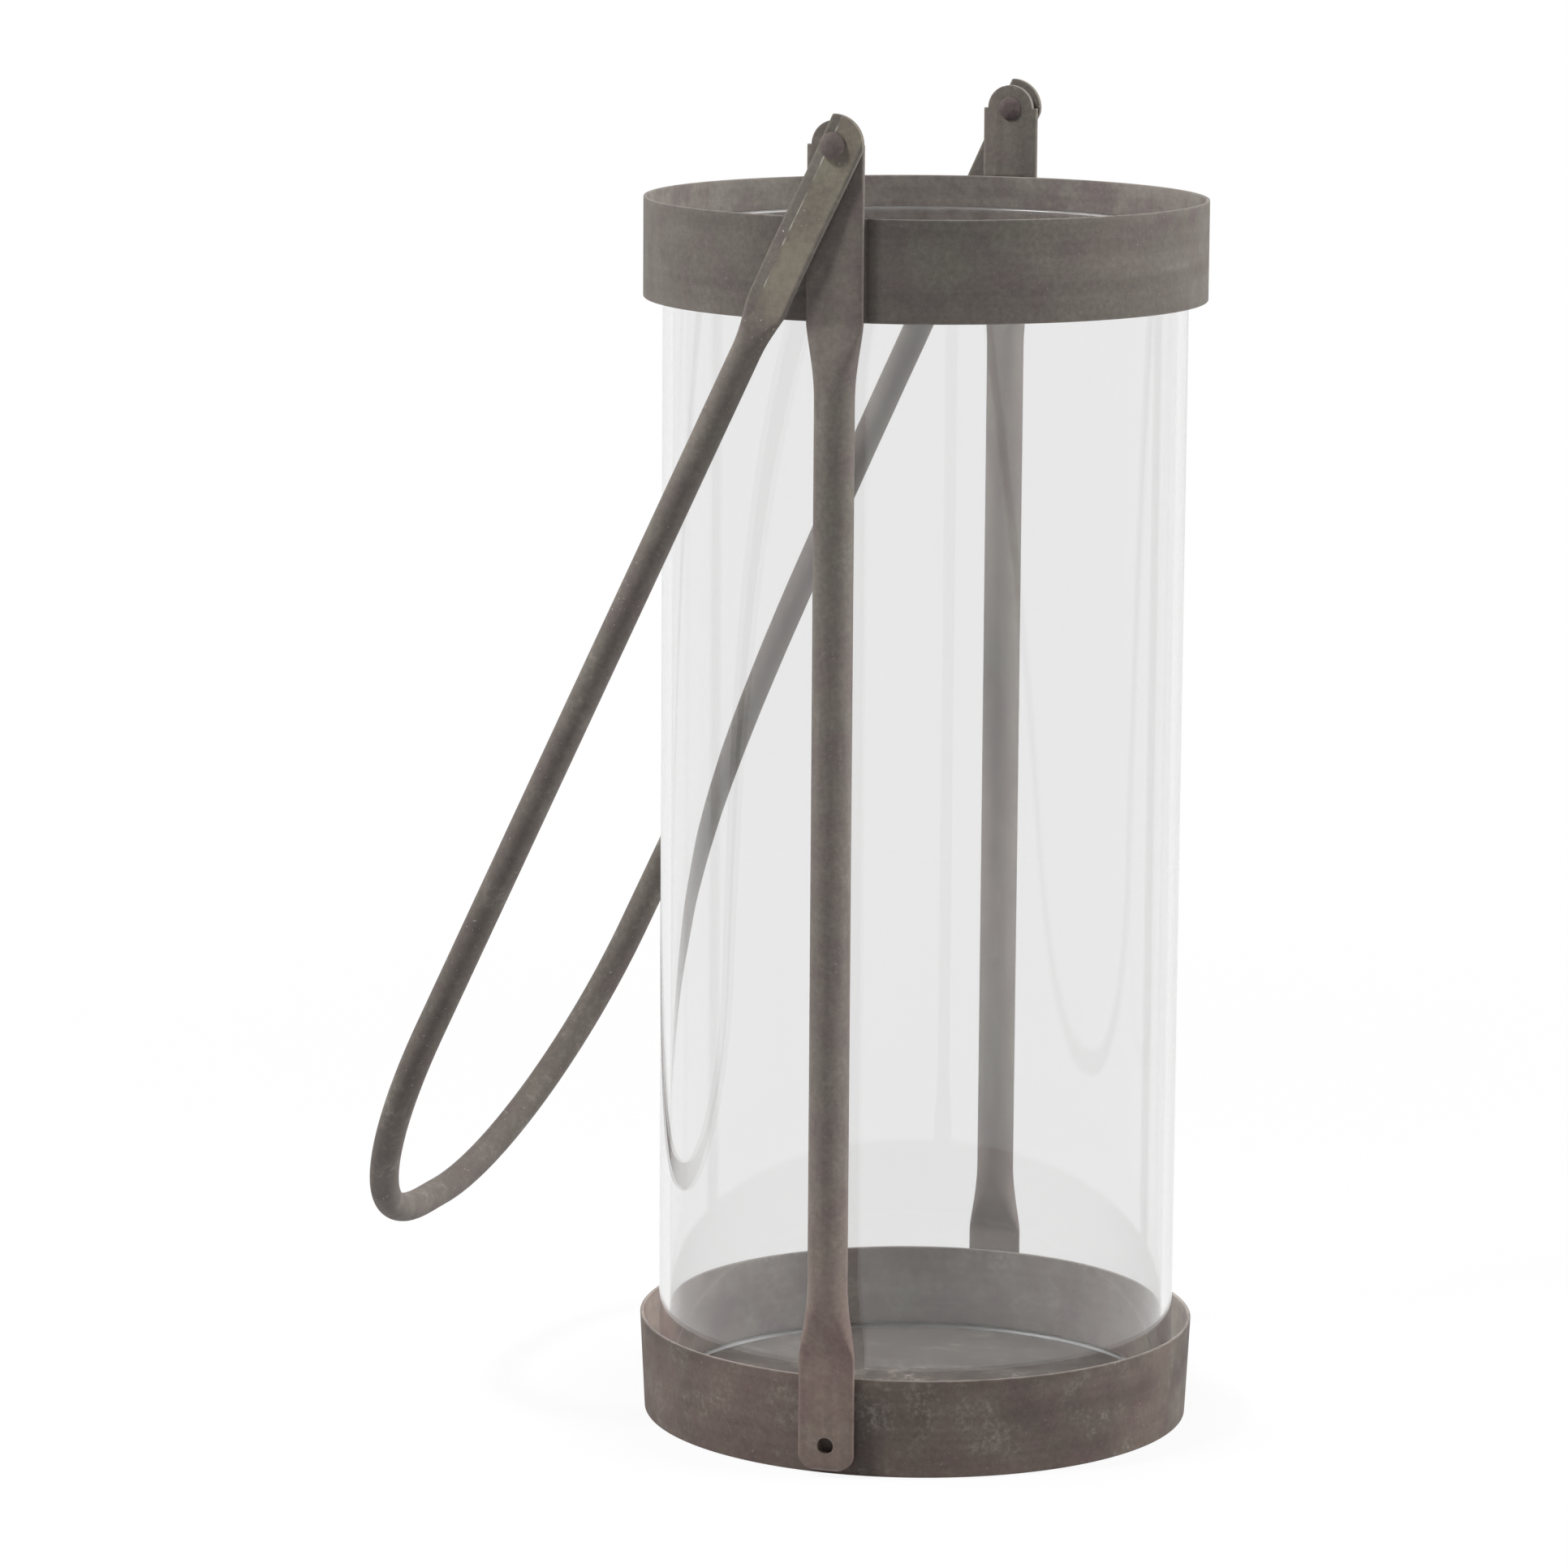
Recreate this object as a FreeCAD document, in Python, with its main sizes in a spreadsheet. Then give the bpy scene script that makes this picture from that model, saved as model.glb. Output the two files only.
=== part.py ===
import FreeCAD, Part
import os
import Sketcher

# A candle lantern: a loose glass cylinder stands in a sheet-metal pan and inside a top band.
# Two tubes with squashed ends tie pan and band together, and a bent tube bail hangs on their lugs.
# +Z is up, the origin is the centre of the base on the table, and the bail swings about the Y direction.

doc = FreeCAD.newDocument("candle_lantern")

# Driving dimensions in millimetres, and one angle in degrees
dimensions = {
    "band_radius": 80.0,  # outside of the top band, and of the pan at its rim
    "sheet_thickness": 1.0,  # rolled sheet of the two bands
    "sheet_edge_round": 0.3,  # dressed upper and lower edges of the sheet
    "rim_height": 352.0,  # top edge of the top band
    "band_height": 28.4,  # depth of the top band
    "pan_height": 28.2,  # depth of the pan's wall
    "pan_draft": 1.4,  # how much smaller the pan's radius is at the table
    "plate_lift": 3.5,  # underside of the pan's floor plate above the table
    "plate_thickness": 1.2,
    "glass_clearance": 0.9,  # between the glass and the uprights, or the foot of the pan's wall
    "glass_wall": 3.0,
    "glass_rim_gap": 8.7,  # top of the glass below the top band's rim
    "glass_edge_round": 0.9,  # polished rims
    "upright_diameter": 11.2,
    "upright_wall": 1.2,
    "upright_taper": 21.0,  # length over which the tube turns from flat to round
    "upper_overrun": 0.4,  # flat of the upper strap below the top band
    "lower_overrun": 6.0,  # flat of the lower strap above the pan's rim
    "seat_depth": 0.2,  # how far a strap is dressed to the curve of its band
    "lug_step": 1.4,  # shoulder on either side of the rounded upper end
    "foot_lift": 1.8,  # lower end of a strap above the table
    "foot_corner": 5.0,  # rounded corners of the lower end
    "foot_hole_rise": 7.0,  # lower hole above the strap's lower end
    "punch_clearance": 0.1,  # radial clearance of a rivet in the punched holes
    "pivot_rise": 20.0,  # pivot above the top band's rim
    "pivot_play": 0.1,  # side play on either face of the bail's flat end
    "pivot_clearance": 0.05,  # radial clearance of the bail on the rivet
    "rivet_shank": 4.5,
    "rivet_head_lap": 1.45,  # reach of the head past the shank
    "rivet_head_dome": 1.6,
    "rivet_tail_lap": 1.15,  # reach of the peened tail past the shank
    "rivet_tail_dome": 0.8,
    "rivet_edge": 0.5,  # straight rim under the domes of head and tail
    "bail_diameter": 8.4,
    "bail_wall": 1.0,
    "bail_flat": 48.0,  # flat end, measured from the pivot
    "bail_taper": 14.0,  # length over which the bail turns from flat to round
    "bail_pivot_offset": 2.2,  # pivot hole off the middle of the flat
    "bail_end_margin": 0.2,  # snipped round end about the pivot, past the flat's wider side
    "bail_table_gap": 16.4,  # middle of the bend above the table, were the bail to hang straight down
    "bail_bottom_run": 14.0,  # straight run between the two bends
    "bail_lean": 25.5,  # degrees from hanging straight down
}

squash_steps = 8  # evenly spaced sections along a squashed tube end
squash_start = 1.3  # how gently the tube begins to swell beyond the flat
squash_finish = 2  # how gently it ends in the round
crown_share = 0.012  # half-width of the crown arcs of a round section, as a share of its diameter
round_share = 0.45  # largest rounding of an edge, as a share of the wall it rounds
corner_share = 0.9  # largest rounding of a strap's corner, as a share of its half-width
cut_margin = "4"  # how far a cutting sketch reaches past the metal
same_point = 1e-6  # two points closer than this are one

sizes = doc.addObject("Spreadsheet::Sheet", "sizes")
for row, (alias, value) in enumerate(dimensions.items(), start=1):
    sizes.set(f"A{row}", alias)
    sizes.set(f"B{row}", str(value))
    sizes.setAlias(f"B{row}", alias)
doc.recompute()

# Sizes worked out from the driving dimensions, as expressions
strap_thickness = "(2 * sizes.upright_wall)"
strap_width = f"(pi * (sizes.upright_diameter - {strap_thickness}) / 2 + {strap_thickness})"
upright_offset = "(sizes.band_radius - sizes.seat_depth + sizes.upright_wall)"
band_bottom = "(sizes.rim_height - sizes.band_height)"
upper_strap_end = f"({band_bottom} - sizes.upper_overrun)"
lower_strap_end = "(sizes.pan_height + sizes.lower_overrun)"
upper_round_end = f"({upper_strap_end} - sizes.upright_taper)"
lower_round_end = f"({lower_strap_end} + sizes.upright_taper)"
lug_radius = f"({strap_width} / 2 - sizes.lug_step)"
pivot_height = "(sizes.rim_height + sizes.pivot_rise)"
punched_hole = "(sizes.rivet_shank + 2 * sizes.punch_clearance)"
floor_height = "(sizes.plate_lift + sizes.plate_thickness)"
pan_foot_radius = "(sizes.band_radius - sizes.pan_draft)"
bail_thickness = "(2 * sizes.bail_wall)"
bail_width = f"(pi * (sizes.bail_diameter - {bail_thickness}) / 2 + {bail_thickness})"
bail_end_radius = f"({bail_width} / 2 + sizes.bail_pivot_offset + sizes.bail_end_margin)"
bail_offset = f"({upright_offset} + sizes.upright_wall + sizes.pivot_play + sizes.bail_wall)"
bail_round_start = "(sizes.bail_flat + sizes.bail_taper)"
bail_drop = f"({pivot_height} - sizes.bail_table_gap)"
bail_bend_radius = f"({bail_offset} - sizes.bail_bottom_run / 2)"
rivet_grip = f"({strap_thickness} + {bail_thickness} + 2 * sizes.pivot_play)"


def pan_wall_radius(height):
    return f"({pan_foot_radius} - sizes.sheet_thickness + sizes.pan_draft * {height} / sizes.pan_height)"


glass_room = f"min({upright_offset} - sizes.upright_diameter / 2; {pan_wall_radius(floor_height)})"
glass_radius = f"({glass_room} - sizes.glass_clearance)"


def new_body(name):
    body = doc.addObject("PartDesign::Body", name)
    body.Label = name
    return body


def origin_plane(body, role):
    return next(feature for feature in body.Origin.OriginFeatures if feature.Role == role)


def new_sketch(body, name, role, height="0", across="0"):
    sketch = body.newObject("Sketcher::SketchObject", f"{body.Name}_{name}")
    sketch.AttachmentSupport = [(origin_plane(body, role), "")]
    sketch.MapMode = "FlatFace"
    sketch.setExpression("AttachmentOffset.Base.y", across)
    sketch.setExpression("AttachmentOffset.Base.z", height)
    return sketch


def bind(sketch, kind, parts, expression):
    value = sizes.evalExpression(expression)
    index = sketch.addConstraint(Sketcher.Constraint(kind, *parts, value))
    sketch.setExpression(f"Constraints[{index}]", expression)


def pin_point(sketch, geometry, point, x=None, y=None):
    for axis, kind, expression in ((-2, "DistanceX", x), (-1, "DistanceY", y)):
        if expression == "0":
            sketch.addConstraint(Sketcher.Constraint("PointOnObject", geometry, point, axis))
        elif expression is not None:
            bind(sketch, kind, (-1, 1, geometry, point), expression)


def arc_between(first, second, centre_x):
    rise = second.y - first.y
    run = second.x - first.x
    centre_y = (first.y + second.y) / 2 + run * ((first.x + second.x) / 2 - centre_x) / rise
    centre = FreeCAD.Vector(centre_x, centre_y, 0)
    middle = (first + second) / 2 - centre
    middle.normalize()
    return Part.Arc(first, centre + middle * (first - centre).Length, second)


# Corners are (x, y), or (x, y, centre x) where the edge that arrives there is an arc
def draw(sketch, corners, closed=True):
    points = [FreeCAD.Vector(*map(sizes.evalExpression, corner[:2]), 0) for corner in corners]
    edges = []
    for start in range(len(corners) if closed else len(corners) - 1):
        finish = (start + 1) % len(corners)
        arrival = corners[finish]
        if len(arrival) == 3:
            curve = arc_between(points[start], points[finish], sizes.evalExpression(arrival[2]))
        else:
            curve = Part.LineSegment(points[start], points[finish])
        edge = sketch.addGeometry(curve)
        forward = sketch.getPoint(edge, 1).distanceToPoint(points[start]) < same_point
        first, last = (1, 2) if forward else (2, 1)
        pin_point(sketch, edge, first, *corners[start][:2])
        if len(arrival) == 3:
            pin_point(sketch, edge, 3, x=arrival[2])
        edges.append((edge, first, last))
    for before, after in zip(edges, edges[1:] + edges[:1]):
        if closed or after is not edges[0]:
            sketch.addConstraint(Sketcher.Constraint("Coincident", before[0], before[2], after[0], after[1]))
    if not closed:
        pin_point(sketch, edges[-1][0], edges[-1][2], *corners[-1][:2])


def add_circle(sketch, diameter, height="0", across="0"):
    centre = FreeCAD.Vector(sizes.evalExpression(across), sizes.evalExpression(height), 0)
    radius = sizes.evalExpression(diameter) / 2
    circle = sketch.addGeometry(Part.Circle(centre, FreeCAD.Vector(0, 0, 1), radius))
    pin_point(sketch, circle, 3, across, height)
    bind(sketch, "Diameter", (circle,), diameter)


def add_pad(body, name, sketch, length, downward=False):
    pad = body.newObject("PartDesign::Pad", f"{body.Name}_{name}")
    pad.Profile = sketch
    pad.Reversed = downward
    pad.setExpression("Length", length)
    return pad


def add_cut(body, name, sketch):
    before = solid_volume(body)
    cut = body.newObject("PartDesign::Pocket", f"{body.Name}_{name}")
    cut.Profile = sketch
    cut.Type = "ThroughAll"
    cut.Midplane = True
    confirm_less(body, before, name)
    return cut


def add_turned(body, name, kind, sketch):
    turned = body.newObject(f"PartDesign::{kind}", f"{body.Name}_{name}")
    turned.Profile = sketch
    turned.ReferenceAxis = (sketch, ["V_Axis"])
    turned.Angle = 360
    return turned


def solid_volume(body):
    doc.recompute()
    return body.Shape.Volume


def confirm_less(body, before, name):
    if not solid_volume(body) < before:
        raise RuntimeError(f"{body.Label}: {name} removed nothing")


def round_edges(body, name, feature, radius, wall, keep):
    doc.recompute()
    names = []
    for index, edge in enumerate(feature.Shape.Edges, start=1):
        if isinstance(edge.Curve, Part.Circle) and keep(edge):
            names.append(f"Edge{index}")
    rounded = body.newObject("PartDesign::Fillet", f"{body.Name}_{name}")
    rounded.Base = (feature, names)
    rounded.setExpression("Radius", f"min({radius}; {round_share} * {wall})")


# Cross-section of a tube squashed between flats: the wall's length stays the same all the way
def tube_section(body, name, height, across, tube, roundness):
    diameter = f"sizes.{tube}_diameter"
    wall = f"sizes.{tube}_wall"
    half_height = f"({wall} + ({diameter} / 2 - {wall}) * {roundness})"
    half_flat = f"(pi * ({diameter} / 2 - {half_height}) / 2)"
    half_width = f"({half_flat} + {half_height})"
    crown = ()
    arc_centre = half_flat
    shoulder = half_height
    if roundness == 1:
        half_flat = f"({crown_share} * {diameter})"
        shoulder = f"sqrt({half_height} ^ 2 - {half_flat} ^ 2)"
        arc_centre = "0"
        crown = ("0",)
    left_centre = "0" if roundness == 1 else f"-{arc_centre}"
    sketch = new_sketch(body, name, "XY_Plane", height, across)
    draw(sketch, (
        ("0", f"-{half_height}", *crown),
        (half_flat, f"-{shoulder}", *crown),
        (half_width, "0", arc_centre),
        (half_flat, shoulder, arc_centre),
        ("0", half_height, *crown),
        (f"-{half_flat}", shoulder, *crown),
        (f"-{half_width}", "0", left_centre),
        (f"-{half_flat}", f"-{shoulder}", left_centre),
    ))
    return sketch


# The run from flat strap to round tube. Direction is 1 where the tube lies above the strap, else -1
def add_squashed_run(body, name, tube, flat_end, across, direction):
    sections = []
    for step in range(squash_steps + 1):
        share = step / squash_steps
        roundness = (1 - (1 - share) ** squash_finish) ** squash_start
        height = f"({flat_end} + {direction} * {share} * sizes.{tube}_taper)"
        sections.append(tube_section(body, f"{name}_section_{step}", height, across, tube, roundness))
    loft = body.newObject("PartDesign::AdditiveLoft", f"{body.Name}_{name}")
    loft.Profile = sections[0]
    loft.Sections = sections[1:]
    return loft, sections[0]


def tube_ring(body, name, height, across, tube):
    sketch = new_sketch(body, name, "XY_Plane", height, across)
    add_circle(sketch, f"sizes.{tube}_diameter")
    add_circle(sketch, f"(sizes.{tube}_diameter - 2 * sizes.{tube}_wall)")
    return sketch


# Trims the end of a strap to an arc about its pivot hole
def trim_round_end(body, name, radius, pivot="0", across="0"):
    left = f"({across} - {radius})"
    right = f"({across} + {radius})"
    far_left = f"({left} - {cut_margin})"
    far_right = f"({right} + {cut_margin})"
    top = f"({pivot} + {radius} + {cut_margin})"
    sketch = new_sketch(body, f"{name}_outline", "XZ_Plane")
    draw(sketch, (
        (far_left, pivot),
        (left, pivot),
        (across, f"({pivot} + {radius})", across),
        (right, pivot, across),
        (far_right, pivot),
        (far_right, top),
        (far_left, top),
    ))
    add_cut(body, name, sketch)


def make_top_band():
    body = new_body("top_band")
    sketch = new_sketch(body, "ring", "XY_Plane", band_bottom)
    add_circle(sketch, "(2 * sizes.band_radius)")
    add_circle(sketch, "(2 * (sizes.band_radius - sizes.sheet_thickness))")
    hoop = add_pad(body, "hoop", sketch, "sizes.band_height")
    round_edges(
        body, "dressed_edges", hoop, "sizes.sheet_edge_round", "sizes.sheet_thickness", lambda edge: True)
    return body


def make_base_band():
    body = new_body("base_band")
    sketch = new_sketch(body, "wall_section", "XZ_Plane")
    draw(sketch, (
        (f"({pan_foot_radius} - sizes.sheet_thickness)", "0"),
        (pan_foot_radius, "0"),
        ("sizes.band_radius", "sizes.pan_height"),
        ("(sizes.band_radius - sizes.sheet_thickness)", "sizes.pan_height"),
    ))
    wall = add_turned(body, "wall", "Revolution", sketch)
    middle = sizes.evalExpression("sizes.pan_height / 2")
    round_edges(
        body, "dressed_rim", wall, "sizes.sheet_edge_round", "sizes.sheet_thickness",
        lambda edge: edge.CenterOfMass.z > middle)
    return body


def make_base_plate():
    body = new_body("base_plate")
    underside = "sizes.plate_lift"
    sketch = new_sketch(body, "disc_section", "XZ_Plane")
    draw(sketch, (
        ("0", underside),
        (pan_wall_radius(underside), underside),
        (pan_wall_radius(floor_height), floor_height),
        ("0", floor_height),
    ))
    add_turned(body, "disc", "Revolution", sketch)
    return body


def make_glass():
    body = new_body("glass_cylinder")
    sketch = new_sketch(body, "ring", "XY_Plane", floor_height)
    add_circle(sketch, f"(2 * {glass_radius})")
    add_circle(sketch, f"(2 * ({glass_radius} - sizes.glass_wall))")
    wall = add_pad(body, "wall", sketch, f"(sizes.rim_height - sizes.glass_rim_gap - {floor_height})")
    round_edges(body, "polished_rims", wall, "sizes.glass_edge_round", "sizes.glass_wall", lambda edge: True)
    return body


def make_upright(name, turn):
    body = new_body(name)
    across = f"-{upright_offset}"
    ring = tube_ring(body, "ring", lower_round_end, across, "upright")
    add_pad(body, "tube", ring, f"({upper_round_end} - {lower_round_end})")
    lower_flat = add_squashed_run(body, "lower_run", "upright", lower_strap_end, across, 1)[1]
    add_pad(body, "lower_strap", lower_flat, f"({lower_strap_end} - sizes.foot_lift)", downward=True)
    upper_flat = add_squashed_run(body, "upper_run", "upright", upper_strap_end, across, -1)[1]
    add_pad(body, "upper_strap", upper_flat, f"({pivot_height} + {lug_radius} - {upper_strap_end})")
    trim_round_end(body, "lug_end", lug_radius, pivot_height)
    trim_foot(body)
    holes = new_sketch(body, "holes", "XZ_Plane")
    add_circle(holes, punched_hole, pivot_height)
    add_circle(holes, punched_hole, "(sizes.foot_lift + sizes.foot_hole_rise)")
    add_cut(body, "punched_holes", holes)
    dress_to_bands(body)
    body.Placement = FreeCAD.Placement(FreeCAD.Vector(), FreeCAD.Rotation(FreeCAD.Vector(0, 0, 1), turn))
    return body


def trim_foot(body):
    half_width = f"({strap_width} / 2)"
    corner = f"min(sizes.foot_corner; {corner_share} * {half_width})"
    inner = f"({half_width} - {corner})"
    outer = f"({half_width} + {cut_margin})"
    top = f"(sizes.foot_lift + {corner})"
    below = f"(sizes.foot_lift - {cut_margin})"
    sketch = new_sketch(body, "foot_outline", "XZ_Plane")
    for side in ("", "-"):
        draw(sketch, (
            (f"{side}{inner}", below),
            (f"{side}{inner}", "sizes.foot_lift"),
            (f"{side}{half_width}", top, f"{side}{inner}"),
            (f"{side}{outer}", top),
            (f"{side}{outer}", below),
        ))
    add_cut(body, "foot_corners", sketch)


# Hollows the inner face of both straps where they bear on the bands
def dress_to_bands(body):
    before = solid_volume(body)
    inner = f"(sizes.band_radius - {cut_margin})"
    sketch = new_sketch(body, "band_seats", "YZ_Plane")
    draw(sketch, (
        (inner, band_bottom),
        ("sizes.band_radius", band_bottom),
        ("sizes.band_radius", "sizes.rim_height"),
        (inner, "sizes.rim_height"),
    ))
    draw(sketch, (
        (inner, "0"),
        (pan_foot_radius, "0"),
        ("sizes.band_radius", "sizes.pan_height"),
        (inner, "sizes.pan_height"),
    ))
    add_turned(body, "seats", "Groove", sketch)
    confirm_less(body, before, "seats")


# Hangs straight down from its pivot, then leans with its placement
def make_bail():
    body = new_body("bail_handle")
    across = f"-{bail_offset}"
    leg_end = f"-({bail_drop} - {bail_bend_radius})"
    bottom = f"-{bail_drop}"
    half_bottom = "(sizes.bail_bottom_run / 2)"
    ring = tube_ring(body, "ring", f"-{bail_round_start}", across, "bail")
    spine = new_sketch(body, "spine", "YZ_Plane")
    draw(spine, (
        (f"-{bail_offset}", f"-{bail_round_start}"),
        (f"-{bail_offset}", leg_end),
        (f"-{half_bottom}", bottom, f"-{half_bottom}"),
        (half_bottom, bottom),
        (bail_offset, leg_end, half_bottom),
        (bail_offset, f"-{bail_round_start}"),
    ), closed=False)
    bow = body.newObject("PartDesign::AdditivePipe", "bail_handle_bow")
    bow.Profile = ring
    bow.Spine = spine
    run, flat = add_squashed_run(body, "run", "bail", "-sizes.bail_flat", across, -1)
    strap = add_pad(body, "strap", flat, f"(sizes.bail_flat + {bail_end_radius})")
    doc.recompute()
    mirrored = body.newObject("PartDesign::Mirrored", "bail_handle_far_end")
    mirrored.Originals = [run, strap]
    mirrored.MirrorPlane = (origin_plane(body, "XZ_Plane"), [""])
    body.Tip = mirrored
    hole_place = "-sizes.bail_pivot_offset"
    trim_round_end(body, "end", bail_end_radius, across=hole_place)
    holes = new_sketch(body, "holes", "XZ_Plane")
    add_circle(holes, "(sizes.rivet_shank + 2 * sizes.pivot_clearance)", across=hole_place)
    add_cut(body, "pivot_holes", holes)
    lean = FreeCAD.Rotation(FreeCAD.Vector(0, 1, 0), dimensions["bail_lean"])
    body.Placement = FreeCAD.Placement(FreeCAD.Vector(), lean)
    body.setExpression("Placement.Base.x", "sizes.bail_pivot_offset * cos(sizes.bail_lean)")
    body.setExpression("Placement.Base.z", f"{pivot_height} - sizes.bail_pivot_offset * sin(sizes.bail_lean)")
    body.setExpression("Placement.Rotation.Angle", "sizes.bail_lean * 1 deg")
    return body


# Turned about its own axis from the inner face of the lug, with the head outwards
def make_rivet(name, side):
    body = new_body(name)
    sketch = new_sketch(body, "half_section", "XZ_Plane")
    shank_radius = "(sizes.rivet_shank / 2)"
    head_radius = f"({shank_radius} + sizes.rivet_head_lap)"
    tail_radius = f"({shank_radius} + sizes.rivet_tail_lap)"
    draw(sketch, (
        ("0", "-(sizes.rivet_edge + sizes.rivet_tail_dome)"),
        (tail_radius, "-sizes.rivet_edge", "0"),
        (tail_radius, "0"),
        (shank_radius, "0"),
        (shank_radius, rivet_grip),
        (head_radius, rivet_grip),
        (head_radius, f"({rivet_grip} + sizes.rivet_edge)"),
        ("0", f"({rivet_grip} + sizes.rivet_edge + sizes.rivet_head_dome)", "0"),
    ))
    add_turned(body, "turned", "Revolution", sketch)
    turn = FreeCAD.Rotation(FreeCAD.Vector(1, 0, 0), -90 * side)
    body.Placement = FreeCAD.Placement(FreeCAD.Vector(), turn)
    body.setExpression("Placement.Base.y", f"{side} * ({upright_offset} - sizes.upright_wall)")
    body.setExpression("Placement.Base.z", pivot_height)
    return body


pieces = [
    make_top_band(),
    make_base_band(),
    make_base_plate(),
    make_upright("upright_front", 0),
    make_upright("upright_rear", 180),
    make_bail(),
    make_rivet("pivot_rivet_front", -1),
    make_rivet("pivot_rivet_rear", 1),
    make_glass(),
]
doc.recompute()

for item in doc.Objects:
    if "Invalid" in item.State or "Error" in item.State:
        raise RuntimeError(f"{item.Label} did not build: {item.State}")
for piece in pieces:
    if piece.Shape.isNull() or not piece.Shape.isValid() or len(piece.Shape.Solids) != 1:
        raise RuntimeError(f"{piece.Label} is not one sound solid")

os.makedirs("parts", exist_ok=True)
for piece in pieces:
    piece.Shape.exportStep(f"parts/{piece.Label}.step")
    print(f"{piece.Label}: {piece.Shape.Volume / 1000:.2f} cm3")
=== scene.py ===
import bmesh
import bpy
from math import cos, hypot, pi, radians, sin, sqrt
from mathutils import Matrix, Vector, noise


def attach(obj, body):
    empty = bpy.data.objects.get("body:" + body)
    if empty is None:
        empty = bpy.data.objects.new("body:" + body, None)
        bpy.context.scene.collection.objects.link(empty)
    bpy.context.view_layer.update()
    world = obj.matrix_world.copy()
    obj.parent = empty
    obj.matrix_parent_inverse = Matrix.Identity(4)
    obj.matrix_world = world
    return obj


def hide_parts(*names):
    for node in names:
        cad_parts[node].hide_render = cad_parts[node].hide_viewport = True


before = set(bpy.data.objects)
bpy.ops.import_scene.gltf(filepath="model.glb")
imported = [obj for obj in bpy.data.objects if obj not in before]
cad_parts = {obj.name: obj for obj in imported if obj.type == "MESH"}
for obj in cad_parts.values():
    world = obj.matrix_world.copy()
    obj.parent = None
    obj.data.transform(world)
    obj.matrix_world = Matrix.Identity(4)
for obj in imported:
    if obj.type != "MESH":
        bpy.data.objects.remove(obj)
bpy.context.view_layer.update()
mm = 0.001
scene = bpy.context.scene
scene.view_settings.view_transform = "Standard"
print("frame loaded")


def addNode(tree, kind, values=(), **settings):
    made = tree.nodes.new("ShaderNode" + kind)
    for name, value in settings.items():
        setattr(made, name, value)
    for key, value in dict(values).items():
        if isinstance(value, bpy.types.NodeSocket):
            tree.links.new(value, made.inputs[key])
        else:
            made.inputs[key].default_value = value
    return made


def noiseOf(tree, place, scale, detail, roughness):
    values = {"Vector": place, "Scale": scale, "Detail": detail, "Roughness": roughness}
    return addNode(tree, "TexNoise", values).outputs[0]


def spread(tree, value, low, high, bottom=0.0, top=1.0):
    values = {0: value, 1: low, 2: high, 3: bottom, 4: top}
    return addNode(tree, "MapRange", values, interpolation_type="SMOOTHSTEP").outputs[0]


def combine(tree, operation, first, second):
    return addNode(tree, "Math", {0: first, 1: second}, operation=operation).outputs[0]


def blendColour(tree, share, first, second, mode="MIX"):
    values = {0: share, 6: first, 7: second}
    return addNode(tree, "Mix", values, data_type="RGBA", blend_type=mode).outputs[2]


# A mark of wear or tone that a piece carries on its points
def markOf(tree, title):
    return addNode(tree, "Attribute", attribute_name=title).outputs["Fac"]


def newMaterial(name):
    material = bpy.data.materials.new(name)
    material.use_nodes = True
    tree = material.node_tree
    return material, tree, tree.nodes["Principled BSDF"]


# Patterns of the patina as scale, detail and roughness
patterns = {
    "stain": (19, 3, 0.55),
    "mottle": (85, 5, 0.65),
    "grain": (620, 4, 0.7),
    "smudge": (24, 4, 0.55),
    "scuff": (240, 4, 0.7),
    "glint": (1500, 1, 0.55),
    "dents": (42, 2, 0.55),
    "streak": (1.0, 3, 0.55),
}

# Where each of these comes in, and from what amount to what, if not from none to all
fades = {
    "olive": (0.36, 0.64),
    "plum": (0.42, 0.7),
    "tone": (0.62, 0.38, 0.6, 1.0),
    "blotch": (0.48, 0.66),
    "dustPlace": (0.52, 0.3),
    "dustGrain": (0.42, 0.7),
    "grain": (0.25, 0.75, 0.4, 1.0),
    "streak": (0.3, 0.7, 0.6, 1.1),
    "worn": (1.05, 1.5),
    "edge": (0.7, 1.0),
    "speckPlace": (0.5, 0.62),
    "speck": (0.7, 0.76),
    "rough": (0.7, 1.3),
}


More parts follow.
